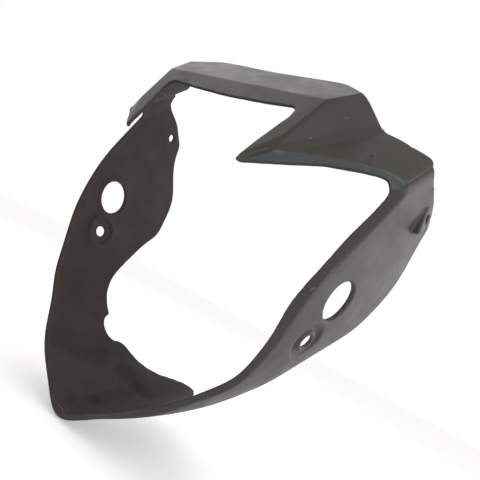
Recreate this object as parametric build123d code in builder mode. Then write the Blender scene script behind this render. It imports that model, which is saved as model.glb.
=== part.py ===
from build123d import *
import os

# Headlight cowl of a motorbike: one moulded plastic shell, open to the rear.
# Frame: X to the right of the photograph, Y to the rear, Z up.
# The origin lies midway between the two big side holes.

# Wall of the moulding and the bevelled lip round its front rim
wall = 2.5
lip = 5.6
opening_inset = 5.0

# Front-view outlines of the side walls, right half, chin to shoulder, as (x, z)
front_depth, middle_depth, rear_depth = -62, 8, 76
front_outline = [
    (0, -134.5), (8, -132), (18, -126.4), (35, -116.5), (61.7, -96), (73.7, -82.5),
    (86.8, -65.5), (91.2, -50), (93.8, -30), (96.2, -4), (101.4, 25), (107.4, 65), (112, 105), (114, 145),
]
middle_outline = [
    (0, -125.5), (7, -123.4), (16, -118.2), (31, -109), (56.6, -91), (68.6, -78.3),
    (81.6, -63), (88.6, -50), (97.5, -30), (104.6, -4), (109.8, 25), (114.6, 65), (117, 105), (118, 145),
]
rear_outline = [
    (0, -99), (21.7, -90.5), (42.3, -76.9), (51.8, -68.8), (61, -58.1), (69.1, -44.9),
    (81.4, -27.5), (96.5, -4), (106.4, 25), (117, 65), (121.5, 105), (123.2, 145),
]
# Points that carry each outline when it is moved in
outline_steps = 30

# Side view of the front rim, as (y, z)
front_rim = [
    (-51, -150), (-50.5, -136), (-47.9, -116), (-40.4, -95), (-34.6, -70), (-33.6, -47),
    (-35.2, -17), (-28.7, 23), (-19.2, 48.5), (-11.5, 68), (6, 102), (28, 150),
]

# Side view of the rear edge, shoulder to chin, as (y, z)
rear_edge = [
    (12.5, 98.5), (15.7, 95), (34.2, 86.1), (43.4, 78.3), (49.4, 71.8), (50.5, 65.5), (53.1, 54.3),
    (61, 38), (65.4, 25.5), (65.3, 15.6), (63.2, 4.2), (59.6, -7.1), (49.8, -18.9),
    (31.4, -41.2), (21, -56), (16, -70), (17.3, -80.6),
]
notch_radius = 7
notch_depth, notch_height = 19, -88
tongue_edge = [
    (20, -94.4), (26, -94.6), (30, -97.8), (34, -100.7), (41, -102.6), (50, -103.3), (80, -101),
]

# Corners of the faceted brow on the right side, as (x, y, z)
fang_tip = (45, -70, 37)
eye_corner = (106.6, -12.9, 67.9)
strip_kink = (59.7, -61.2, 52.1)
strip_bend = (96.5, -28.5, 72.9)
shoulder_front = (111.5, -11.3, 74.9)
shoulder_rear = (110, 7.3, 101.5)
valley_rear = (84.1, -6.2, 103.6)
ridge_low = (58, -60.1, 61.1)
ridge_high = (63.2, -49.2, 85.8)

# Crease between the front band of the brow and its top, as (y, z)
crease_depth, crease_height = -45, 95.5
band_lean = 23.7
top_slope = 45

# Top edge of the brow in front view, right half, as (x, z)
top_edge = [
    (0, 122.2), (20, 123.1), (35, 124), (48, 124.2), (55, 122.8), (60, 120.5), (67.7, 116.4),
    (74.5, 112.8), (84.1, 103.6), (106, 101.8), (112, 102), (117, 100), (140, 97),
]

# Underside of the brow strip, below the tip of the fang
under_drop = 6
under_slope = 28.7

# How far back the filled brow runs for the outer and the inner form, and its lowest level
shoulder_back, shoulder_back_inner = 25, 60
hump_back, hump_back_inner = 10, 20
hump_base = 25
overlap = 3

# Lamp opening in front view, right half: bridge, fang, strip and corner of the eye, as (x, z)
bridge_edge = [(0, 81.5), (30, 82.6), (50.6, 84.6)]
fang_edge = [(50.9, 76.5), (49.1, 69.2), (45.9, 53.9), (44.5, 44), (44.2, 36.7)]
eye_edge = [(61.1, 47.6), (77.8, 57.4), (96, 66.6), (105.5, 70)]
bridge_corner, fang_round, eye_round = 3, 1.5, 3.5
# Outline of the front rim below the eye corner, as (x, z)
rim_outline = [
    (112, 64), (110.4, 48.5), (107.2, 29.6), (104.6, 12.4), (101.2, -4.2), (98.9, -17.4),
    (97.6, -29.9), (95.8, -39.9), (94, -46.9), (91.3, -56.6), (84.3, -70.1), (73.6, -82.7),
    (61.8, -95.8), (35.3, -116.5), (16.2, -128.7), (6, -134.4), (0, -136),
]

# Features of both side walls, at (y, z) in side view
side_hole_radius = 12.5
side_hole_rim, side_hole_rim_rise = 3.5, 1

# Screw boss below each side hole: a tilted round recess with a low boss and a hole in its middle
boss_seat = (98.2, 0, -28.9)
boss_tilt = 15
recess_radius, recess_depth, recess_wall = 12, 2, 2
boss_radius, boss_rise = 7.5, 1.7
boss_hole_radius, boss_floor = 3.9, 2.2
boss_core_radius = 9.6
boss_reach = 40

# Wedge-shaped clip pad at the rear edge, side view as (y, z), thickest at its foot
pad_outline = [(26, 59), (27.5, 77), (38, 83.5), (42, 78.5), (39.5, 70), (32.5, 61)]
pad_foot, pad_head = (120.4, 59), (118.2, 78)
pad_hole_depth, pad_hole_height = 35.5, 72.7
pad_hole_radius = 3.25

# Length of the blocks and cuts that run past the whole part
reach = 400


def facet(a, b, c):
    """Plane through three corners, its normal facing forward."""
    a, b, c = Vector(a), Vector(b), Vector(c)
    normal = (b - a).cross(c - a)
    if normal.Y > 0:
        normal = normal * -1
    return Plane(origin=a, x_dir=b - a, z_dir=normal)


def mirrored(plane):
    """The facet on the left that mirrors one on the right."""
    origin, along, normal = plane.origin, plane.x_dir, plane.z_dir
    return Plane(
        origin=(-origin.X, origin.Y, origin.Z),
        x_dir=(-along.X, along.Y, along.Z),
        z_dir=(-normal.X, normal.Y, normal.Z),
    )


def whole(half):
    """An outline of the right half, joined to its mirror image, left to right."""
    return [(-x, z) for x, z in reversed(half[1:])] + half


def moved_in(points, amount):
    """Points spread evenly along a smooth outline, each moved in by amount."""
    curve = Spline(*points, mode=Mode.PRIVATE)
    steps = [i / outline_steps for i in range(outline_steps + 1)]
    return [curve @ u + (curve % u).rotate(Axis.Z, 90) * amount for u in steps]


strip = facet(fang_tip, eye_corner, strip_kink)
shoulder_inner = facet(strip_kink, strip_bend, valley_rear)
shoulder_outer = facet(strip_bend, shoulder_front, shoulder_rear)
hump_side = facet(strip_kink, valley_rear, ridge_high)
fang_side = facet(strip_kink, fang_tip, ridge_low)
crease = Plane(origin=(0, crease_depth, crease_height), x_dir=(1, 0, 0), z_dir=(0, -1, 0))
band = crease.rotated((-band_lean, 0, 0))
top = crease.rotated((-top_slope, 0, 0))
under = Plane(
    origin=(fang_tip[0], 0, fang_tip[2] - under_drop),
    x_dir=(0, 1, 0),
    z_dir=Vector(0, 0, -1).rotate(Axis.Y, -under_slope),
)


def tube(inset):
    """Filled body within the side walls and chin, open at neither end, moved in by inset."""
    with BuildPart() as body:
        for depth, outline in (
            (front_depth, front_outline), (middle_depth, middle_outline), (rear_depth, rear_outline)
        ):
            with BuildSketch(Plane.XZ.offset(-depth)):
                with BuildLine():
                    edge = Spline(*moved_in(whole(outline), inset))
                    Line(edge @ 1, edge @ 0)
                make_face()
        loft()
    return body.part


def before_rim(shift):
    """Everything in front of the front rim, which is moved to the rear by shift."""
    with BuildPart() as block:
        with BuildSketch(Plane.YZ.offset(-reach / 2)):
            with BuildLine():
                profile = Spline(*[(y + shift, z) for y, z in front_rim])
                low, high = front_rim[0][1], front_rim[-1][1]
                Polyline(profile @ 1, (-reach / 2, high), (-reach / 2, low), profile @ 0)
            make_face()
        extrude(amount=reach)
    return block.part


def trimmed(body, middle, paired, inset):
    """A body cut back to the inner side of facets in the middle and of mirrored pairs."""
    with BuildPart() as cut:
        add(body)
        for plane in middle:
            split(bisect_by=plane.offset(-inset), keep=Keep.BOTTOM)
        for plane in paired:
            split(bisect_by=plane.offset(-inset), keep=Keep.BOTTOM)
            split(bisect_by=mirrored(plane).offset(-inset), keep=Keep.BOTTOM)
    return cut.part


def sides(inset):
    """Side walls and chin, with the bevel round the front rim."""
    with BuildPart() as body:
        add(tube(inset))
        add(before_rim(inset), mode=Mode.SUBTRACT)
        rim_edge = body.faces().sort_by(Axis.Y)[0].edges().sort_by(SortBy.LENGTH)[-1]
        # The shorter inner bevel keeps the lip as thick as the wall
        chamfer(rim_edge, length=lip - inset * (2 - 2**0.5))
    return trimmed(body.part, (), (shoulder_inner, shoulder_outer), inset)


def shoulder(inset, back):
    """Right shoulder: brow strip and the two top facets above it."""
    with BuildPart() as body:
        add(tube(inset))
        for plane in (shoulder_inner, shoulder_outer, strip, fang_side, band):
            split(bisect_by=plane.offset(-inset), keep=Keep.BOTTOM)
        split(bisect_by=under.offset(2 * inset), keep=Keep.BOTTOM)
        split(bisect_by=hump_side.offset(-overlap), keep=Keep.TOP)
        split(bisect_by=Plane.XZ.offset(-back), keep=Keep.TOP)
    return body.part


def hump(inset, back):
    """Raised middle of the brow with both fangs."""
    with BuildPart() as block:
        with Locations((0, back, hump_base - 2 * inset)):
            Box(reach, reach, reach, align=(Align.CENTER, Align.MAX, Align.MIN))
    return trimmed(block.part, (band, top), (hump_side, fang_side, strip), inset)


def form(inset, back_of_shoulder, back_of_hump):
    """The whole cowl as a filled body, moved in by inset."""
    with BuildPart() as body:
        add(sides(inset))
        right = shoulder(inset, back_of_shoulder)
        add(right)
        mirror(right, about=Plane.YZ)
        add(hump(inset, back_of_hump))
    return body.part


outer_form = form(0, shoulder_back, hump_back)
inner_form = form(wall, shoulder_back_inner, hump_back_inner)

# Lamp opening in front view: brow edges above, the inset front rim below
rim_inset = [p for p in moved_in(whole(rim_outline[::-1]), opening_inset) if p.X > -0.001]
with BuildSketch(Plane.XZ.offset(reach / 2)) as opening:
    with BuildLine():
        brow = Polyline(*bridge_edge, *fang_edge, *eye_edge)
        low = Spline(*rim_inset)
        Line(brow @ 1, low @ 1)
        Line(low @ 0, brow @ 0)
    make_face()
    for corner, radius in (
        (bridge_edge[-1], bridge_corner), (fang_edge[-1], fang_round), (eye_edge[-1], eye_round)
    ):
        fillet(opening.vertices().sort_by_distance((*corner, 0))[0], radius)
    mirror(about=Plane.YZ)

# The opening is cut no deeper than the bevelled lip, so the walls behind it stay whole
with BuildPart() as lamp_cut:
    extrude(opening.sketch, amount=reach, dir=(0, 1, 0))
    add(before_rim(lip), mode=Mode.INTERSECT)

with BuildPart() as headlight_cowl:
    add(outer_form)
    add(inner_form, mode=Mode.SUBTRACT)
    add(lamp_cut.part, mode=Mode.SUBTRACT)
    # Trim above the top edge
    with BuildSketch(Plane.XZ.offset(reach / 2)):
        with BuildLine():
            top_line = Polyline(*whole(top_edge))
            end = top_edge[-1][0]
            Polyline(top_line @ 1, (end, reach / 2), (-end, reach / 2), top_line @ 0)
        make_face()
    extrude(amount=-reach, mode=Mode.SUBTRACT)
    # Trim behind the rear edge, with the notch above the chin tongue
    with BuildSketch(Plane.YZ.offset(-reach / 2)):
        with BuildLine():
            edge = Spline(*rear_edge)
            start, end = rear_edge[0][0], tongue_edge[-1][0]
            Polyline(edge @ 1, *tongue_edge, (end, reach / 2), (start, reach / 2), edge @ 0)
        make_face()
        with Locations((notch_depth, notch_height)):
            Circle(notch_radius)
    extrude(amount=reach, mode=Mode.SUBTRACT)

# Raised rim round each side hole, on the inside
with BuildPart() as hole_rim:
    with BuildSketch(Plane.YZ.offset(-reach / 2)):
        Circle(side_hole_radius + side_hole_rim)
    extrude(amount=reach)
    add(tube(wall / 2), mode=Mode.INTERSECT)
    add(tube(wall + side_hole_rim_rise), mode=Mode.SUBTRACT)

# Screw boss: the cup that carries it, what is cut away on either face, and the boss itself
boss_axis = Vector(1, 0, 0).rotate(Axis.Y, boss_tilt)
boss_face = Plane(origin=boss_seat, x_dir=(0, 1, 0), z_dir=boss_axis)
recess_floor = boss_face.offset(-recess_depth)
boss_core = recess_floor.offset(boss_rise - boss_floor)
with BuildPart() as boss_cup:
    with BuildSketch(recess_floor.offset(-recess_wall)):
        Circle(recess_radius + recess_wall)
    extrude(amount=boss_reach)
    add(outer_form, mode=Mode.INTERSECT)
    mirror(about=Plane.YZ)

with BuildPart() as boss_cuts:
    with BuildSketch(recess_floor):
        Circle(recess_radius)
    extrude(amount=boss_reach)
    with BuildSketch(boss_core):
        Circle(boss_core_radius)
    extrude(amount=-boss_floor)
    mirror(about=Plane.YZ)

with BuildPart() as boss:
    with BuildSketch(boss_core):
        Circle(boss_radius)
    extrude(amount=boss_floor)
    mirror(about=Plane.YZ)

with BuildPart() as boss_hole:
    with BuildSketch(boss_core):
        Circle(boss_hole_radius)
    extrude(amount=boss_reach, both=True)
    mirror(about=Plane.YZ)

# Clip pad, cut to a wedge by the plane of its outer face
pad_slope = (pad_head[1] - pad_foot[1], 0, pad_foot[0] - pad_head[0])
pad_face = Plane(origin=(pad_foot[0], 0, pad_foot[1]), x_dir=(0, 1, 0), z_dir=pad_slope)
with BuildPart() as pad:
    with BuildSketch(Plane.YZ):
        with BuildLine():
            Polyline(*pad_outline, close=True)
        make_face()
    extrude(amount=reach / 2)
    split(bisect_by=pad_face, keep=Keep.BOTTOM)
    add(tube(wall / 2), mode=Mode.SUBTRACT)
    mirror(about=Plane.YZ)

with headlight_cowl:
    add(hole_rim.part)
    add(boss_cup.part)
    add(pad.part)
    add(boss_cuts.part, mode=Mode.SUBTRACT)
    add(boss.part)
    add(boss_hole.part, mode=Mode.SUBTRACT)
    with BuildSketch(Plane.YZ.offset(-reach / 2)):
        Circle(side_hole_radius)
        with Locations((pad_hole_depth, pad_hole_height)):
            Circle(pad_hole_radius)
    extrude(amount=reach, mode=Mode.SUBTRACT)

os.makedirs("parts", exist_ok=True)
headlight_cowl.part.label = "headlight_cowl"
export_step(headlight_cowl.part, "parts/headlight_cowl.step")
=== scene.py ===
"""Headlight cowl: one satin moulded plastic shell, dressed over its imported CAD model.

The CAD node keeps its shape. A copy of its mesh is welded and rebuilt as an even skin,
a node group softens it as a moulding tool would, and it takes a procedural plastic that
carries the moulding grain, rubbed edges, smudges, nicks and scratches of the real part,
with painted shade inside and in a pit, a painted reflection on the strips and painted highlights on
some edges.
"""

import logging
from dataclasses import dataclass
from enum import Enum
from typing import Sequence, Union

import bmesh
import bpy
from mathutils import Matrix, Vector

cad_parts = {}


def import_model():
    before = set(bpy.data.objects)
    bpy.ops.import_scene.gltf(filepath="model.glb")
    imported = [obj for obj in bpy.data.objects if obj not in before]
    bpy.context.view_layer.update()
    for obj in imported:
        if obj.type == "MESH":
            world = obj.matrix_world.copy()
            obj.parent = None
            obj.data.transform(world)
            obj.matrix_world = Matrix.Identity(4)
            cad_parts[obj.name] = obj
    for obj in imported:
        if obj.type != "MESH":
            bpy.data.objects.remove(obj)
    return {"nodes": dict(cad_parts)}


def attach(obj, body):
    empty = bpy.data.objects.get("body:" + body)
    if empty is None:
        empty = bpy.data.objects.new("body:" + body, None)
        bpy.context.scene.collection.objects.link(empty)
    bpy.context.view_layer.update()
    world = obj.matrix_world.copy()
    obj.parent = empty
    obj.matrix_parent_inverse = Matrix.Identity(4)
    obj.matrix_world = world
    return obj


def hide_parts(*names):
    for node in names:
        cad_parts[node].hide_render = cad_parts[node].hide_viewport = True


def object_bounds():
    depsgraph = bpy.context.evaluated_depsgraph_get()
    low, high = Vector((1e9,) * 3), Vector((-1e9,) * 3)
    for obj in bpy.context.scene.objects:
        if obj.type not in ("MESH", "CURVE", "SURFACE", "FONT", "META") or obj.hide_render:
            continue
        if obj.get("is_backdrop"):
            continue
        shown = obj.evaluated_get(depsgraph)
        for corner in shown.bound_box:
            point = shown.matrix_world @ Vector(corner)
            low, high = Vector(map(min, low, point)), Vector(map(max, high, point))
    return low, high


LOG = logging.getLogger("headlight_cowl")

NODE = "headlight_cowl"
MM = 0.001
# Points this near are one, edges this short are none, and a line is never shorter.
WELD = 2e-6
SLIVER = 1e-6
SHORTEST = 1e-6
UP = (0.0, 0.0, 1.0)
WHITE = (1.0, 1.0, 1.0, 1.0)

Colour = tuple[float, float, float]
Point = tuple[float, float, float]
Socket = bpy.types.NodeSocket
Value = Union[Socket, float]
Shade = Union[Socket, Colour]


@dataclass(frozen=True)
class PlasticFinish:
    """What the moulded plastic looks like.

    Colours are in linear light, lengths in metres, and waves are counted to the metre.
    """

    base: Colour = (0.062, 0.054, 0.047)
    dust: Colour = (0.112, 0.100, 0.088)
    rubbed: Colour = (0.085, 0.082, 0.080)
    # Darker than base: painted shade inside the shell.
    inside: Colour = (0.041, 0.029, 0.026)
    roughness: float = 0.42
    inside_roughness: float = 0.66
    # A painted bluish reflection for the strips under the shoulders.
    painted_strip_sheen: Colour = (0.074, 0.083, 0.091)
    strip_roughness: float = 0.34
    grain_size: float = 0.0009
    crease_radius: float = 0.0006
    specular: float = 0.4
    edge_wear: float = 0.55
    scratch_wear: float = 0.35
    smudge: Colour = (0.016, 0.014, 0.014)
    smudge_strength: float = 0.45
    strip_from: float = 0.025
    strip_full: float = 0.035
    grain_height: float = 0.00002
    wave_height: float = 0.00008
    scratch_depth: float = 0.00003
    bump_strength: float = 0.8
    mottle_waves: float = 26.0
    mottle_dust: float = 0.16
    dust_waves: float = 45.0
    dust_amount: float = 0.22
    brown_waves: float = 14.0
    brown_fade: float = 0.5
    smudge_waves: float = 34.0
    scratch_waves: Point = (900.0, 60.0, 260.0)
    scratch_breaks: float = 40.0
    sheen_waves: float = 60.0
    sheen_low: float = -0.05
    sheen_high: float = 0.06
    swell_waves: float = 70.0


@dataclass(frozen=True)
class Mark:
    """A speck, smudge, scratch, worn line, painted highlight or painted shade: what lies within a
    radius of a run of points.

    The mark has its full strength within core, a share of the radius. Lengths in metres.
    """

    points: tuple[Point, ...]
    radius: float
    colour: Colour
    strength: float = 1.0
    core: float = 0.5


MARKS = (
    # The pit near the right end of the strip, painted near-black as its shade.
    Mark(((0.0933, -0.0239, 0.0785),), 0.0013, (0.003, 0.003, 0.003), 1.0, 0.8),
    # A painted highlight along the top edge of the strip.
    Mark(
        (
            (0.0597, -0.0612, 0.0521),
            (0.0965, -0.0285, 0.0729),
            (0.1115, -0.0113, 0.0749),
        ),
        0.0014,
        (0.14, 0.16, 0.18),
        0.5,
        0.0,
    ),
    # Two pale specks on the shoulder.
    Mark(((0.0663, -0.0456, 0.0708),), 0.0006, (0.20, 0.19, 0.18)),
    Mark(((0.0721, -0.0307, 0.0944),), 0.0006, (0.20, 0.19, 0.18)),
    # A nick in the right lip and a red dot inside the left wall.
    Mark(((0.100, -0.0304, -0.0037), (0.1007, -0.0298, -0.002)), 0.0007, (0.16, 0.16, 0.16), 0.7),
    Mark(((-0.1067, -0.0137, 0.0325),), 0.0009, (0.10, 0.03, 0.02)),
    # Four dark smudges inside the chin.
    Mark(
        ((-0.0353, -0.003, -0.1048), (-0.0353, 0.004, -0.1035)),
        0.011,
        (0.016, 0.014, 0.014),
        0.7,
        0.3,
    ),
    Mark(
        ((-0.024, 0.016, -0.1085), (-0.020, 0.0215, -0.1085)),
        0.010,
        (0.015, 0.013, 0.013),
        0.8,
        0.3,
    ),
    Mark(
        ((-0.012, 0.025, -0.1135), (-0.004, 0.032, -0.115)),
        0.008,
        (0.015, 0.013, 0.013),
        0.8,
        0.3,
    ),
    Mark(
        ((-0.008, -0.0155, -0.1252), (-0.0085, -0.011, -0.1245)),
        0.005,
        (0.017, 0.015, 0.014),
        0.7,
        0.3,
    ),
    # A painted highlight along the crease of the right lip.
    Mark(
        (
            (0.1046, -0.0262, 0.0125),
            (0.1031, -0.0278, 0.0025),
            (0.1013, -0.0289, -0.0073),
            (0.0995, -0.0297, -0.0182),
            (0.0973, -0.0292, -0.0295),
        ),
        0.0010,
        (0.13, 0.14, 0.15),
        0.5,
        0.0,
    ),
    # A painted highlight along the edge of the chin's lip.
    Mark(
        (
            (0.0191, -0.0461, -0.122),
            (0.0301, -0.0443, -0.1155),
            (0.043, -0.0424, -0.1064),
            (0.0539, -0.0393, -0.0971),
            (0.0636, -0.0358, -0.0872),
            (0.0715, -0.0337, -0.0789),
        ),
        0.0008,
        (0.12, 0.10, 0.095),
        0.5,
        0.0,
    ),
    # A painted highlight streak along the tip of the right pointed end.
    Mark(
        (
            (0.0465, -0.0688, 0.0401),
            (0.0513, -0.0657, 0.0462),
            (0.0559, -0.0628, 0.0517),
        ),
        0.0009,
        (0.14, 0.135, 0.13),
        0.6,
        0.0,
    ),
    # Three torn marks at the middle of the chin, one dark and two pale.
    Mark(
        (
            (-0.0052, -0.0461, -0.1289),
            (-0.0027, -0.0449, -0.1299),
        ),
        0.0006,
        (0.007, 0.006, 0.006),
        1.0,
        0.4,
    ),
    Mark(
        (
            (-0.0068, -0.0422, -0.1295),
            (-0.004, -0.0406, -0.1303),
            (-0.0016, -0.0412, -0.131),
        ),
        0.0005,
        (0.22, 0.18, 0.17),
        0.7,
        0.4,
    ),
    Mark(
        (
            (-0.0014, -0.0391, -0.1307),
            (-0.0043, -0.0329, -0.1293),
            (-0.0074, -0.0269, -0.1272),
        ),
        0.0005,
        (0.16, 0.13, 0.12),
        0.6,
        0.4,
    ),
    # A fine scratch inside the chin.
    Mark(
        (
            (-0.0329, -0.0375, -0.113),
            (-0.0343, -0.0311, -0.1109),
            (-0.0354, -0.0222, -0.1085),
        ),
        0.0004,
        (0.11, 0.10, 0.095),
        0.5,
        0.3,
    ),
)


@dataclass(frozen=True)
class Facet:
    """A flat face of the brow, through three corners in millimetres, seen from in front."""

    a: Point
    b: Point
    c: Point

    def plane(self) -> tuple[Vector, Vector]:
        """The facet as a plane.

        Returns:
            A point on it and its outward normal, in metres.
        """
        a, b, c = (Vector(corner) * MM for corner in (self.a, self.b, self.c))
        normal = (b - a).cross(c - a).normalized()
        return a, -normal if normal.y > 0 else normal


class Bend(Enum):
    """Which way two facets meet."""

    RIDGE = -1.0
    VALLEY = 1.0


@dataclass(frozen=True)
class SoftCrease:
    """Where two facets run into each other in a soft bend, on both halves of the part.

    The bend grows over run_in before its start, and fades out from the share fade of its
    depth under the skin. Lengths in millimetres, as in the two classes below.
    """

    first: Facet
    second: Facet
    bend: Bend
    width: float
    start: Point
    run_in: float = 8.0
    depth: float = 9.0
    fade: float = 0.55


@dataclass(frozen=True)
class Nudge:
    """A stretch of edge that the mould carries a little further than the flat facets do.

    The whole shift is within core of the edge and none beyond reach. It grows over the
    share ramp of the stretch.
    """

    start: Point
    end: Point
    reach: float
    shift: Point
    core: float = 1.5
    ramp: float = 0.45


@dataclass(frozen=True)
class Ring:
    """A raised ring inside both walls whose step melts into the wall.

    The blur grows over fade_in outside inner and ends over fade_out inside outer. A distance
    through the wall counts only by the share across.
    """

    centre: Point
    inner: float
    outer: float
    fade_in: float = 1.2
    fade_out: float = 2.0
    across: float = 0.35


# Corners of the right half of the brow, in millimetres.
STRIP_KINK = (59.7, -61.2, 52.1)
STRIP_BEND = (96.5, -28.5, 72.9)
SHOULDER_FRONT = (111.5, -11.3, 74.9)
SHOULDER_REAR = (110.0, 7.3, 101.5)
VALLEY_REAR = (84.1, -6.2, 103.6)
RIDGE_HIGH = (63.2, -49.2, 85.8)

STRIP = Facet((45.0, -70.0, 37.0), (106.6, -12.9, 67.9), STRIP_KINK)
SHOULDER_INNER = Facet(STRIP_KINK, STRIP_BEND, VALLEY_REAR)
SHOULDER_OUTER = Facet(STRIP_BEND, SHOULDER_FRONT, SHOULDER_REAR)
HUMP_SIDE = Facet(STRIP_KINK, VALLEY_REAR, RIDGE_HIGH)
TOP = Facet((0.0, -45.0, 95.5), (50.0, -45.0, 95.5), (0.0, -18.0, 122.5))
BAND = Facet((0.0, -45.0, 95.5), (50.0, -45.0, 95.5), (0.0, -57.0, 68.2))
SIDE_WALL = Facet((115.6, 0.0, 90.0), (114.3, -20.0, 90.0), (117.4, 0.0, 120.0))


@dataclass(frozen=True)
class MouldPlan:
    """How the even skin is made and softened, lengths in millimetres.

    An edge is what edge_probe passes of blur move by edge_from or more, and counts in full
    from edge_full.
    """

    voxel: float = 0.45
    passes: int = 10
    edge_passes: int = 24
    face_limit: int = 186000
    ring_passes: int = 30
    softness: float = 1.0
    edge_probe: int = 4
    edge_from: float = 0.03
    edge_full: float = 0.09
    normal_weight: int = 50
    creases: tuple[SoftCrease, ...] = (
        SoftCrease(SHOULDER_OUTER, SIDE_WALL, Bend.RIDGE, 6.0, SHOULDER_FRONT),
        SoftCrease(SHOULDER_INNER, SHOULDER_OUTER, Bend.RIDGE, 4.0, STRIP_BEND, 4.0),
        SoftCrease(HUMP_SIDE, SHOULDER_INNER, Bend.VALLEY, 3.2, STRIP_KINK, 4.0),
        SoftCrease(HUMP_SIDE, TOP, Bend.RIDGE, 1.6, (69.6, -45.0, 95.5), 4.0),
        SoftCrease(TOP, BAND, Bend.RIDGE, 0.8, (-200.0, -45.0, 95.5), 4.0),
    )
    nudges: tuple[Nudge, ...] = (
        Nudge((61.1, -56.7, 47.6), (105.5, -15.6, 70.0), 8.0, (0.0, 0.0, 1.5)),
    )
    rings: tuple[Ring, ...] = (
        Ring((100.0, 0.0, 0.0), 13.8, 20.0),
        Ring((97.0, 0.0, -28.5), 12.9, 18.0),
    )


@dataclass(frozen=True)
class Panel:
    """A square soft light: where it stands, what it faces, its side, power and colour."""

    name: str
    at: Point
    to: Point
    size: float
    power: float
    colour: Colour = (1.0, 1.0, 1.0)


@dataclass(frozen=True)
class StudioPlan:
    """Camera, floor and light, in metres in the shared frame, the lens in millimetres."""

    camera_at: Point = (0.2097, -0.2686, -0.0259)
    camera_right: Point = (0.757, 0.4599, 0.4641)
    camera_up: Point = (-0.3306, -0.3431, 0.8792)
    lens: float = 37.5
    sensor: float = 36.0
    clip_start: float = 0.01
    floor_size: float = 6.0
    floor_white: float = 0.93
    floor_glow: float = 0.38
    paper_waves: float = 900.0
    paper_tooth: float = 0.05
    paper_depth: float = 0.0002
    dome_axis: Point = (-0.05, 0.72, 0.69)
    dome_from: float = -0.65
    dome_full: float = 0.55
    dome_colour: Colour = (1.0, 0.985, 0.96)
    dome_dark: float = 0.45
    dome_bright: float = 0.66
    panels: tuple[Panel, ...] = (
        Panel("upper_left_panel", (-0.62, 0.05, 0.62), (0.0, 0.0, 0.0), 0.9, 2.0),
        Panel("rear_right_panel", (0.55, 0.75, 0.20), (0.08, 0.0, 0.0), 0.7, 1.6),
        Panel("right_panel", (0.80, -0.02, 0.14), (0.08, 0.0, 0.03), 0.45, 1.0, (0.92, 0.96, 1.0)),
    )


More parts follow.
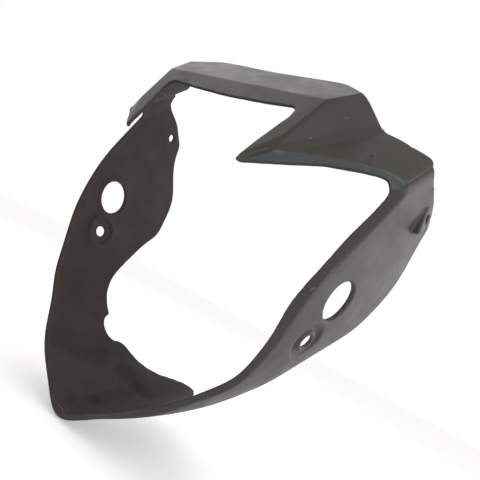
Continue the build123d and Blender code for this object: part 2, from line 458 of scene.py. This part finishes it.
class Graph:
    """A thin layer over a node tree that adds and links nodes by name."""

    def __init__(self, tree: bpy.types.NodeTree) -> None:
        self.tree = tree
        tree.nodes.clear()

    def add(self, kind: str, **settings: object) -> bpy.types.Node:
        """Adds a node and sets its properties.

        Args:
            kind: The node's type, such as "ShaderNodeTexNoise".
            **settings: Properties of the node.

        Returns:
            The new node.
        """
        node = self.tree.nodes.new(kind)
        for name, value in settings.items():
            setattr(node, name, value)
        return node

    def feed(self, node: bpy.types.Node, **inputs: object) -> bpy.types.Node:
        """Links or sets a node's inputs.

        Args:
            node: The node.
            **inputs: A socket or a value for each input, named by its label with _ for
                spaces, or by _ and its number.

        Returns:
            The same node.
        """
        for name, value in inputs.items():
            key = int(name[1:]) if name.startswith("_") else name.replace("_", " ")
            socket = node.inputs[key]
            if isinstance(value, Socket):
                self.tree.links.new(value, socket)
            else:
                socket.default_value = value
        return node

    def noise(
        self, vector: Socket, scale: float, detail: float = 3.0, rough: float = 0.55
    ) -> Socket:
        """Noise over a vector.

        Args:
            vector: Where the noise is read.
            scale: Its waves to the metre.
            detail: How many finer layers it has.
            rough: How strong the finer layers are.

        Returns:
            The noise's value, from 0 to 1.
        """
        node = self.add("ShaderNodeTexNoise")
        self.feed(node, Vector=vector, Scale=scale, Detail=detail, Roughness=rough)
        return node.outputs["Fac"]

    def remap(
        self, value: Socket, low: float, high: float, out_low: float = 0.0, out_high: float = 1.0
    ) -> Socket:
        """Stretches a value smoothly and clamps it.

        Args:
            value: The value.
            low: Where the result is out_low.
            high: Where the result is out_high.
            out_low: The result at low and on its far side.
            out_high: The result at high and on its far side.

        Returns:
            The stretched value.
        """
        node = self.add("ShaderNodeMapRange", interpolation_type="SMOOTHSTEP")
        self.feed(node, Value=value, From_Min=low, From_Max=high, To_Min=out_low, To_Max=out_high)
        return node.outputs["Result"]

    def maths(self, operation: str, a: Value, b: Value = 0.0) -> Socket:
        """Adds a calculation with numbers.

        Args:
            operation: The Math node's operation.
            a: Its first value.
            b: Its second value.

        Returns:
            The result.
        """
        node = self.add("ShaderNodeMath", operation=operation)
        self.feed(node, _0=a, _1=b)
        return node.outputs[0]

    def vector(
        self, operation: str, a: Union[Socket, Point], b: Union[Value, Point] = (0.0, 0.0, 0.0)
    ) -> Socket:
        """Adds a calculation with vectors.

        Args:
            operation: The Vector Math node's operation.
            a: Its first vector.
            b: Its second vector, or the factor for SCALE.

        Returns:
            The result, a number for a product, length or distance.
        """
        node = self.add("ShaderNodeVectorMath", operation=operation)
        if operation == "SCALE":
            self.feed(node, _0=a, Scale=b)
        else:
            self.feed(node, _0=a, _1=b)
        gives_number = operation in ("DOT_PRODUCT", "LENGTH", "DISTANCE")
        return node.outputs["Value" if gives_number else "Vector"]

    def blend(self, factor: Value, a: Shade, b: Shade) -> Socket:
        """Mixes two colours.

        Args:
            factor: The share of b.
            a: The colour at 0.
            b: The colour at 1.

        Returns:
            The mixed colour.
        """
        node = self.add("ShaderNodeMix", data_type="RGBA")
        self.feed(node, _0=factor, _6=opaque(a), _7=opaque(b))
        return node.outputs[2]

    def folded(self, vector: Socket) -> Socket:
        """Lays the left half of the part over the right.

        Args:
            vector: A place or a direction.

        Returns:
            The vector with its x made positive.
        """
        parts = self.add("ShaderNodeSeparateXYZ")
        self.feed(parts, Vector=vector)
        x, y, z = parts.outputs
        both = self.add("ShaderNodeCombineXYZ")
        self.feed(both, X=self.maths("ABSOLUTE", x), Y=y, Z=z)
        return both.outputs[0]

    def away_from(self, place: Socket, start: Vector, end: Vector) -> Socket:
        """Measures how far a place is from a straight stretch.

        Args:
            place: The place.
            start: Where the stretch starts.
            end: Where it ends.

        Returns:
            The distance.
        """
        line = end - start
        offset = self.vector("SUBTRACT", place, tuple(start))
        along = self.vector("DOT_PRODUCT", offset, tuple(line))
        share = self.maths("DIVIDE", along, max(line.length_squared, SHORTEST**2))
        share = self.maths("MINIMUM", self.maths("MAXIMUM", share, 0.0), 1.0)
        return self.vector("DISTANCE", offset, self.vector("SCALE", tuple(line), share))


def opaque(colour: Shade) -> Union[Socket, tuple[float, ...]]:
    """A colour with its alpha, or a socket as it is."""
    return (*colour, 1.0) if isinstance(colour, tuple) else colour


class PlasticMaterial:
    """Satin black moulded plastic, a little dusty outside and smudged inside, with painted shade
    inside, a painted reflection on the strips and painted highlights along some edges.
    """

    def __init__(self, name: str, finish: PlasticFinish, marks: Sequence[Mark]) -> None:
        self.finish = finish
        self.marks = marks
        self.material = bpy.data.materials.new(name)
        self.material.use_nodes = True
        self.graph = Graph(self.material.node_tree)

    def build(self) -> bpy.types.Material:
        """Wires the whole material.

        Returns:
            The finished material.
        """
        g = self.graph
        place = g.add("ShaderNodeTexCoord").outputs["Object"]
        normal = g.add("ShaderNodeNewGeometry").outputs["Normal"]
        inside = self._inside_mask(place, normal)
        edge = self._edge_mask(normal)

        patches = g.noise(place, self.finish.mottle_waves, 5.0, 0.6)
        mottled = g.remap(patches, 0.35, 0.75, 0.0, self.finish.mottle_dust)
        colour = g.blend(mottled, self.finish.base, self.finish.dust)
        colour = g.blend(self._dust_mask(place, normal), colour, self.finish.dust)
        strip = self._strip_mask(place, normal)
        # The strips take a painted bluish reflection, not a colour of their own.
        colour = g.blend(strip, colour, self.finish.painted_strip_sheen)
        # The inside takes a darker colour as painted shade.
        colour = g.blend(inside, colour, self._inside_shaded_colour(place))
        worn = g.maths("MULTIPLY", edge, self.finish.edge_wear)
        colour = g.blend(worn, colour, self.finish.rubbed)
        scratch = self._scratches(place)
        worn = g.maths("MULTIPLY", scratch, self.finish.scratch_wear)
        colour = g.blend(worn, colour, self.finish.rubbed)
        # Some marks are painted highlights and one is painted shade.
        for mark in self.marks:
            colour = g.blend(self._mark_mask(place, mark), colour, mark.colour)

        sheen = g.noise(place, self.finish.sheen_waves, 4.0)
        rough = g.remap(sheen, 0.3, 0.7, self.finish.sheen_low, self.finish.sheen_high)
        outside = g.remap(strip, 0.0, 1.0, self.finish.roughness, self.finish.strip_roughness)
        extra = self.finish.inside_roughness - self.finish.roughness
        duller = g.remap(inside, 0.0, 1.0, 0.0, extra)
        rough = g.maths("ADD", g.maths("ADD", rough, outside), duller)
        shader = g.add("ShaderNodeBsdfPrincipled")
        g.feed(shader, Base_Color=colour, Roughness=rough, Normal=self._grain(place, scratch))
        shader.inputs["Specular IOR Level"].default_value = self.finish.specular
        g.feed(g.add("ShaderNodeOutputMaterial"), Surface=shader.outputs["BSDF"])
        return self.material

    def _inside_mask(self, place: Socket, normal: Socket) -> Socket:
        """Tells the inside of the shell from its outside.

        Args:
            place: Where it is read.
            normal: The face's normal.

        Returns:
            1 where a face looks towards the middle of the ring, 0 outside.
        """
        g = self.graph
        outward = g.vector("NORMALIZE", g.vector("MULTIPLY", place, (1.0, 0.0, 1.0)))
        return g.remap(g.vector("DOT_PRODUCT", normal, outward), -0.35, -0.05, 1.0, 0.0)

    def _edge_mask(self, normal: Socket) -> Socket:
        """Finds the sharpest edges, where hands and fittings rub.

        Args:
            normal: The face's normal.

        Returns:
            1 on the edges, 0 on the faces.
        """
        g = self.graph
        bevel = g.add("ShaderNodeBevel", samples=6)
        bevel.inputs["Radius"].default_value = self.finish.crease_radius
        alike = g.vector("DOT_PRODUCT", bevel.outputs["Normal"], normal)
        return g.remap(alike, 0.78, 0.96, 1.0, 0.0)

    def _strip_mask(self, place: Socket, normal: Socket) -> Socket:
        """Finds the smoother strip under each shoulder, which faces forward and down and takes a
        painted bluish reflection.

        Args:
            place: Where it is read.
            normal: The face's normal.

        Returns:
            1 on the strips, 0 elsewhere.
        """
        g = self.graph
        _, facing = STRIP.plane()
        height = g.vector("DOT_PRODUCT", place, UP)
        high = g.remap(height, self.finish.strip_from, self.finish.strip_full)
        alike = g.vector("DOT_PRODUCT", g.folded(normal), tuple(facing))
        turned = g.remap(alike, 0.93, 0.975)
        return g.maths("MULTIPLY", turned, high)

    def _dust_mask(self, place: Socket, normal: Socket) -> Socket:
        """Lays fine dust on what faces up, in soft patches.

        Args:
            place: Where it is read.
            normal: The face's normal.

        Returns:
            How much dust there is.
        """
        g = self.graph
        facing_up = g.vector("DOT_PRODUCT", normal, UP)
        level = g.remap(facing_up, 0.1, 0.9, 0.0, self.finish.dust_amount)
        patches = g.noise(place, self.finish.dust_waves, 5.0, 0.65)
        patches = g.remap(patches, 0.35, 0.7, 0.4, 1.0)
        return g.maths("MULTIPLY", level, patches)

    def _inside_shaded_colour(self, place: Socket) -> Socket:
        """Colours the inside darker and browner than the outside as painted shade inside the shell,
        with darker smudges towards the chin.

        Args:
            place: Where it is read.

        Returns:
            The inside's colour, with its painted shade.
        """
        g = self.graph
        low = g.remap(g.vector("DOT_PRODUCT", place, UP), -0.115, -0.03, 1.0, 0.0)
        patches = g.noise(place, self.finish.smudge_waves, 2.0, 0.5)
        smudge = g.maths("MULTIPLY", g.remap(patches, 0.52, 0.62), low)
        paler = g.noise(place, self.finish.brown_waves, 2.0)
        paler = g.remap(paler, 0.35, 0.7, 0.0, self.finish.brown_fade)
        shaded_inside = g.blend(paler, self.finish.inside, self.finish.base)
        smudge = g.maths("MULTIPLY", smudge, self.finish.smudge_strength)
        return g.blend(smudge, shaded_inside, self.finish.smudge)

    def _scratches(self, place: Socket) -> Socket:
        """Scatters sparse hairline scratches, thin in one direction and broken up.

        Args:
            place: Where it is read.

        Returns:
            1 in a scratch, 0 elsewhere.
        """
        g = self.graph
        long_way = g.vector("MULTIPLY", place, self.finish.scratch_waves)
        line = g.remap(g.noise(long_way, 1.0, 1.0), 0.70, 0.76)
        broken = g.remap(g.noise(place, self.finish.scratch_breaks, 2.0), 0.55, 0.65)
        return g.maths("MULTIPLY", line, broken)

    def _mark_mask(self, place: Socket, mark: Mark) -> Socket:
        """Finds a mark's area.

        Args:
            place: Where it is read.
            mark: The mark.

        Returns:
            Its strength along its points, falling softly to 0 at its radius.
        """
        g = self.graph
        stops = mark.points if len(mark.points) > 1 else mark.points * 2
        nearest = 1.0
        for start, end in zip(stops, stops[1:]):
            nearest = g.maths("MINIMUM", nearest, g.away_from(place, Vector(start), Vector(end)))
        return g.remap(nearest, mark.core * mark.radius, mark.radius, mark.strength, 0.0)

    def _grain(self, place: Socket, scratch: Socket) -> Socket:
        """Raises the moulding's fine grain and sinks the scratches.

        Args:
            place: Where it is read.
            scratch: The scratches.

        Returns:
            The bumped normal.
        """
        g = self.graph
        fine = g.noise(place, 1.0 / self.finish.grain_size, 2.0, 0.5)
        wavy = g.noise(place, self.finish.swell_waves, 2.0, 0.5)
        fine = g.maths("MULTIPLY", fine, self.finish.grain_height)
        wavy = g.maths("MULTIPLY", wavy, self.finish.wave_height)
        sunk = g.maths("MULTIPLY", scratch, self.finish.scratch_depth)
        height = g.maths("SUBTRACT", g.maths("ADD", fine, wavy), sunk)
        bump = g.add("ShaderNodeBump")
        g.feed(bump, Height=height)
        bump.inputs["Strength"].default_value = self.finish.bump_strength
        bump.inputs["Distance"].default_value = 1.0
        return bump.outputs["Normal"]


class SoftMoulding:
    """A node group that softens an even skin along its bends, edges and rings."""

    def __init__(self, plan: MouldPlan, material: bpy.types.Material) -> None:
        self.plan = plan
        self.group = bpy.data.node_groups.new("soft_moulding", "GeometryNodeTree")
        self.graph = Graph(self.group)
        self._wire(material)

    def _wire(self, material: bpy.types.Material) -> None:
        """Builds the whole group: blur, bends, nudged edges, then the material.

        Args:
            material: What the skin is made of.
        """
        g = self.graph
        face = self.group.interface
        face.new_socket("Geometry", in_out="INPUT", socket_type="NodeSocketGeometry")
        self.passes = face.new_socket("Passes", in_out="INPUT", socket_type="NodeSocketInt")
        self.softness = face.new_socket("Softness", in_out="INPUT", socket_type="NodeSocketFloat")
        face.new_socket("Geometry", in_out="OUTPUT", socket_type="NodeSocketGeometry")
        source = g.add("NodeGroupInput")
        skin = self._blurred(source.outputs["Geometry"], source.outputs["Passes"], 1.0)
        skin = self._blurred(skin, self.plan.edge_passes, self._edge_weight())
        skin = self._blurred(skin, self.plan.ring_passes, self._ring_weight())
        for crease in self.plan.creases:
            skin = self._moved(skin, self._bend_shift(crease, source.outputs["Softness"]))
        for nudge in self.plan.nudges:
            skin = self._moved(skin, self._nudge_shift(nudge))
        real = g.add("GeometryNodeRealizeInstances")
        g.feed(real, Geometry=skin)
        dressed = g.add("GeometryNodeSetMaterial")
        g.feed(dressed, Geometry=real.outputs["Geometry"])
        dressed.inputs["Material"].default_value = material
        g.feed(g.add("NodeGroupOutput"), Geometry=dressed.outputs["Geometry"])

    def apply(self, obj: bpy.types.Object) -> None:
        """Adds the group to an object, with its inputs set.

        Args:
            obj: The object.
        """
        modifier = obj.modifiers.new("soft_moulding", "NODES")
        modifier.node_group = self.group
        modifier[self.passes.identifier] = self.plan.passes
        modifier[self.softness.identifier] = self.plan.softness

    def _position(self) -> Socket:
        """The point's place, a field."""
        return self.graph.add("GeometryNodeInputPosition").outputs[0]

    def _side(self) -> Socket:
        """The point's half of the part, +1 right and -1 left, a field."""
        across = self.graph.vector("DOT_PRODUCT", self._position(), (1.0, 0.0, 0.0))
        return self.graph.maths("SIGN", across)

    def _pushed(self, way: Sequence[float], amount: Socket) -> Socket:
        """Turns a push on the right half into its mirror image on the left.

        Args:
            way: The push on the right half.
            amount: A factor on it.

        Returns:
            The push, a vector field.
        """
        g = self.graph
        both = g.add("ShaderNodeCombineXYZ")
        g.feed(both, X=g.maths("MULTIPLY", self._side(), way[0]), Y=way[1], Z=way[2])
        return g.vector("SCALE", both.outputs[0], amount)

    def _moved(self, skin: Socket, shift: Socket) -> Socket:
        """Moves every point of the skin.

        Args:
            skin: The skin.
            shift: How far, a vector field.

        Returns:
            The moved skin.
        """
        g = self.graph
        node = g.add("GeometryNodeSetPosition")
        g.feed(node, Geometry=skin, Offset=shift)
        return node.outputs["Geometry"]

    def _blur(self, passes: Value, weight: Value) -> Socket:
        """Draws each point's place to its neighbours'.

        Args:
            passes: How many times.
            weight: How strongly, from 0 to 1.

        Returns:
            The blurred place, a field.
        """
        blur = self.graph.add("GeometryNodeBlurAttribute", data_type="FLOAT_VECTOR")
        open_inputs = (socket for socket in blur.inputs if socket.enabled)
        value = next(socket for socket in open_inputs if socket.name == "Value")
        self.group.links.new(self._position(), value)
        self.graph.feed(blur, Iterations=passes, Weight=weight)
        return next(socket for socket in blur.outputs if socket.enabled)

    def _blurred(self, skin: Socket, passes: Value, weight: Value) -> Socket:
        """Blurs the skin.

        Args:
            skin: The skin.
            passes: How many times.
            weight: How strongly, from 0 to 1.

        Returns:
            The blurred skin.
        """
        node = self.graph.add("GeometryNodeSetPosition")
        self.graph.feed(node, Geometry=skin, Position=self._blur(passes, weight))
        return node.outputs["Geometry"]

    def _edge_weight(self) -> Socket:
        """Finds the sharp edges, which a blur moves most.

        Returns:
            1 along the edges, 0 on the faces.
        """
        g = self.graph
        moved = g.vector("DISTANCE", self._blur(self.plan.edge_probe, 1.0), self._position())
        return g.remap(moved, self.plan.edge_from * MM, self.plan.edge_full * MM)

    def _ring_weight(self) -> Value:
        """Finds the steps of the raised rings.

        Returns:
            1 across each step, 0 elsewhere.
        """
        g = self.graph
        place = g.folded(self._position())
        total = 0.0
        for ring in self.plan.rings:
            offset = g.vector("SUBTRACT", place, tuple(v * MM for v in ring.centre))
            away = g.vector("LENGTH", g.vector("MULTIPLY", offset, (ring.across, 1.0, 1.0)))
            band = g.maths(
                "MULTIPLY",
                g.remap(away, ring.inner * MM, (ring.inner + ring.fade_in) * MM),
                g.remap(away, (ring.outer - ring.fade_out) * MM, ring.outer * MM, 1.0, 0.0),
            )
            total = g.maths("MAXIMUM", total, band)
        return total

    def _bend_shift(self, crease: SoftCrease, softness: Socket) -> Socket:
        """How far a point moves where two facets meet in a soft bend.

        Args:
            crease: The facets and the bend's width.
            softness: A factor on the width.

        Returns:
            The shift, a vector field.
        """
        g = self.graph
        place = g.folded(self._position())
        (at_a, out_a), (at_b, out_b) = crease.first.plane(), crease.second.plane()
        under_a = g.maths("SUBTRACT", out_a.dot(at_a), g.vector("DOT_PRODUCT", place, tuple(out_a)))
        under_b = g.maths("SUBTRACT", out_b.dot(at_b), g.vector("DOT_PRODUCT", place, tuple(out_b)))
        width = g.maths("MULTIPLY", softness, crease.width * MM)
        apart = g.maths("ABSOLUTE", g.maths("SUBTRACT", under_a, under_b))
        near = g.maths("MAXIMUM", g.maths("SUBTRACT", 1.0, g.maths("DIVIDE", apart, width)), 0.0)
        # A quarter of the width makes the curve run into both facets without a kink.
        height = g.maths("MULTIPLY", width, 0.25)
        amount = g.maths("MULTIPLY", g.maths("MULTIPLY", near, near), height)
        deep = g.maths("ABSOLUTE", g.maths("MINIMUM", under_a, under_b))
        shallow = g.remap(deep, crease.fade * crease.depth * MM, crease.depth * MM, 1.0, 0.0)
        amount = g.maths("MULTIPLY", amount, shallow)
        along = out_a.cross(out_b).normalized()
        along = along if along.y > 0 else -along
        begin = along.dot(Vector(crease.start) * MM)
        passed = g.maths("SUBTRACT", g.vector("DOT_PRODUCT", place, tuple(along)), begin)
        amount = g.maths("MULTIPLY", amount, g.remap(passed, -crease.run_in * MM, 0.0))
        middle = (out_a + out_b).normalized()
        return self._pushed(middle * (crease.bend.value / middle.dot(out_a)), amount)

    def _nudge_shift(self, nudge: Nudge) -> Socket:
        """How far a point moves beside a nudged stretch of edge.

        Args:
            nudge: The stretch of edge and its shift.

        Returns:
            The shift, a vector field.
        """
        g = self.graph
        place = g.folded(self._position())
        start, end = Vector(nudge.start) * MM, Vector(nudge.end) * MM
        along = end - start
        share = g.vector("DOT_PRODUCT", g.vector("SUBTRACT", place, tuple(start)), tuple(along))
        grown = g.remap(g.maths("DIVIDE", share, along.length_squared), 0.0, nudge.ramp)
        away = g.away_from(place, start, end)
        close = g.remap(away, nudge.core * MM, nudge.reach * MM, 1.0, 0.0)
        return self._pushed([v * MM for v in nudge.shift], g.maths("MULTIPLY", grown, close))


@dataclass(frozen=True)
class CowlShell:
    """The visible shell: the CAD mesh as an even skin, softened like a moulding."""

    source: bpy.types.Object
    plan: MouldPlan = MouldPlan()

    def build(self, material: bpy.types.Material) -> bpy.types.Object:
        """Makes the shell's object.

        Args:
            material: What the shell is made of.

        Returns:
            The new object, linked to the scene.
        """
        shell = bpy.data.objects.new("cowl_shell", self._welded())
        bpy.context.scene.collection.objects.link(shell)
        skin = shell.modifiers.new("even_skin", "REMESH")
        skin.mode = "VOXEL"
        skin.voxel_size = self.plan.voxel * MM
        skin.use_smooth_shade = True
        SoftMoulding(self.plan, material).apply(shell)
        self._settle(shell)
        thin = shell.modifiers.new("fewer_faces", "DECIMATE")
        triangles = sum(len(face.vertices) - 2 for face in shell.data.polygons)
        thin.ratio = min(1.0, self.plan.face_limit / triangles)
        self._settle(shell)
        shell.data.shade_smooth()
        shading = shell.modifiers.new("flat_facets", "WEIGHTED_NORMAL")
        shading.mode = "FACE_AREA"
        shading.weight = self.plan.normal_weight
        self._settle(shell)
        return shell

    def _welded(self) -> bpy.types.Mesh:
        """Copies the node's mesh and closes its seams.

        Returns:
            The copy.
        """
        mesh = self.source.data.copy()
        mesh.name = "cowl_shell"
        form = bmesh.new()
        form.from_mesh(mesh)
        bmesh.ops.remove_doubles(form, verts=form.verts, dist=WELD)
        bmesh.ops.dissolve_degenerate(form, edges=form.edges, dist=SLIVER)
        form.to_mesh(mesh)
        form.free()
        if "custom_normal" in mesh.attributes:
            mesh.attributes.remove(mesh.attributes["custom_normal"])
        return mesh

    @staticmethod
    def _settle(obj: bpy.types.Object) -> None:
        """Replaces an object's mesh by what its modifiers make of it.

        Args:
            obj: The object.
        """
        graph = bpy.context.evaluated_depsgraph_get()
        mesh = bpy.data.meshes.new_from_object(obj.evaluated_get(graph))
        obj.modifiers.clear()
        old, obj.data = obj.data, mesh
        bpy.data.meshes.remove(old)


@dataclass(frozen=True)
class Studio:
    """A plain pale floor, a soft dome of light and the camera of the photograph."""

    plan: StudioPlan = StudioPlan()

    def build(self, ground: float) -> None:
        """Sets the whole stage.

        Args:
            ground: Height of the floor.
        """
        self._camera()
        self._world()
        self._floor(ground)
        for panel in self.plan.panels:
            self._panel(panel)

    def _camera(self) -> None:
        """Puts the camera where the photograph was taken from."""
        data = bpy.data.cameras.new("photo_camera")
        data.lens = self.plan.lens
        data.sensor_width = self.plan.sensor
        data.clip_start = self.plan.clip_start
        camera = bpy.data.objects.new("photo_camera", data)
        right = Vector(self.plan.camera_right).normalized()
        leaning = Vector(self.plan.camera_up)
        up = (leaning - right * right.dot(leaning)).normalized()
        turn = Matrix((right, up, right.cross(up))).transposed().to_4x4()
        camera.matrix_world = Matrix.Translation(self.plan.camera_at) @ turn
        bpy.context.scene.collection.objects.link(camera)
        bpy.context.scene.camera = camera

    def _world(self) -> None:
        """White to the camera; to everything else a dome, brighter behind and above."""
        world = bpy.data.worlds.new("studio")
        bpy.context.scene.world = world
        world.use_nodes = True
        g = Graph(world.node_tree)
        direction = g.add("ShaderNodeTexCoord").outputs["Generated"]
        plan = self.plan
        facing = g.vector("DOT_PRODUCT", direction, tuple(Vector(plan.dome_axis).normalized()))
        level = g.remap(facing, plan.dome_from, plan.dome_full, plan.dome_dark, plan.dome_bright)
        dome = g.add("ShaderNodeBackground")
        g.feed(dome, Color=opaque(plan.dome_colour), Strength=level)
        white = g.add("ShaderNodeBackground")
        g.feed(white, Color=WHITE, Strength=1.0)
        pick = g.add("ShaderNodeMixShader")
        rays = g.add("ShaderNodeLightPath")
        g.feed(pick, _0=rays.outputs["Is Camera Ray"], _1=dome.outputs[0], _2=white.outputs[0])
        g.feed(g.add("ShaderNodeOutputWorld"), Surface=pick.outputs[0])

    def _floor(self, ground: float) -> None:
        """Lays a pale sheet under the part that keeps its soft shadow.

        Args:
            ground: Height of the sheet.
        """
        half = self.plan.floor_size / 2
        mesh = bpy.data.meshes.new("floor")
        turns = ((-1, -1), (1, -1), (1, 1), (-1, 1))
        corners = [(x * half, y * half, ground) for x, y in turns]
        mesh.from_pydata(corners, [], [(0, 1, 2, 3)])
        floor = bpy.data.objects.new("floor", mesh)
        bpy.context.scene.collection.objects.link(floor)
        material = bpy.data.materials.new("floor_paper")
        material.use_nodes = True
        g = Graph(material.node_tree)
        place = g.add("ShaderNodeTexCoord").outputs["Object"]
        tooth = g.add("ShaderNodeBump")
        g.feed(tooth, Height=g.noise(place, self.plan.paper_waves, 2.0))
        tooth.inputs["Strength"].default_value = self.plan.paper_tooth
        tooth.inputs["Distance"].default_value = self.plan.paper_depth
        paper = g.add("ShaderNodeBsdfDiffuse")
        white = self.plan.floor_white
        g.feed(paper, Color=(white, white, white, 1.0), Normal=tooth.outputs["Normal"])
        glow = g.add("ShaderNodeEmission")
        seen = g.add("ShaderNodeLightPath").outputs["Is Camera Ray"]
        g.feed(glow, Color=WHITE, Strength=g.maths("MULTIPLY", seen, self.plan.floor_glow))
        both = g.add("ShaderNodeAddShader")
        g.feed(both, _0=paper.outputs[0], _1=glow.outputs[0])
        g.feed(g.add("ShaderNodeOutputMaterial"), Surface=both.outputs[0])
        mesh.materials.append(material)
        floor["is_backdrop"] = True

    @staticmethod
    def _panel(panel: Panel) -> None:
        """Hangs one soft light.

        Args:
            panel: The light's plan.
        """
        data = bpy.data.lights.new(panel.name, "AREA")
        data.shape = "SQUARE"
        data.size = panel.size
        data.energy = panel.power
        data.color = panel.colour
        light = bpy.data.objects.new(panel.name, data)
        light.location = panel.at
        aim = Vector(panel.to) - Vector(panel.at)
        light.rotation_euler = aim.to_track_quat("-Z", "Y").to_euler()
        bpy.context.scene.collection.objects.link(light)


def main() -> None:
    """Loads the frame, dresses the part and sets the stage."""
    logging.basicConfig(level=logging.INFO)
    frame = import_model()
    cad_low, cad_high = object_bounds()
    bpy.context.scene.view_settings.view_transform = "Standard"

    material = PlasticMaterial("satin_plastic", PlasticFinish(), MARKS).build()
    shell = CowlShell(frame["nodes"][NODE]).build(material)
    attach(shell, "root")
    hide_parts(NODE)
    LOG.info("shell has %d faces", len(shell.data.polygons))

    Studio().build(ground=cad_low[2])


if __name__ == "__main__":
    main()
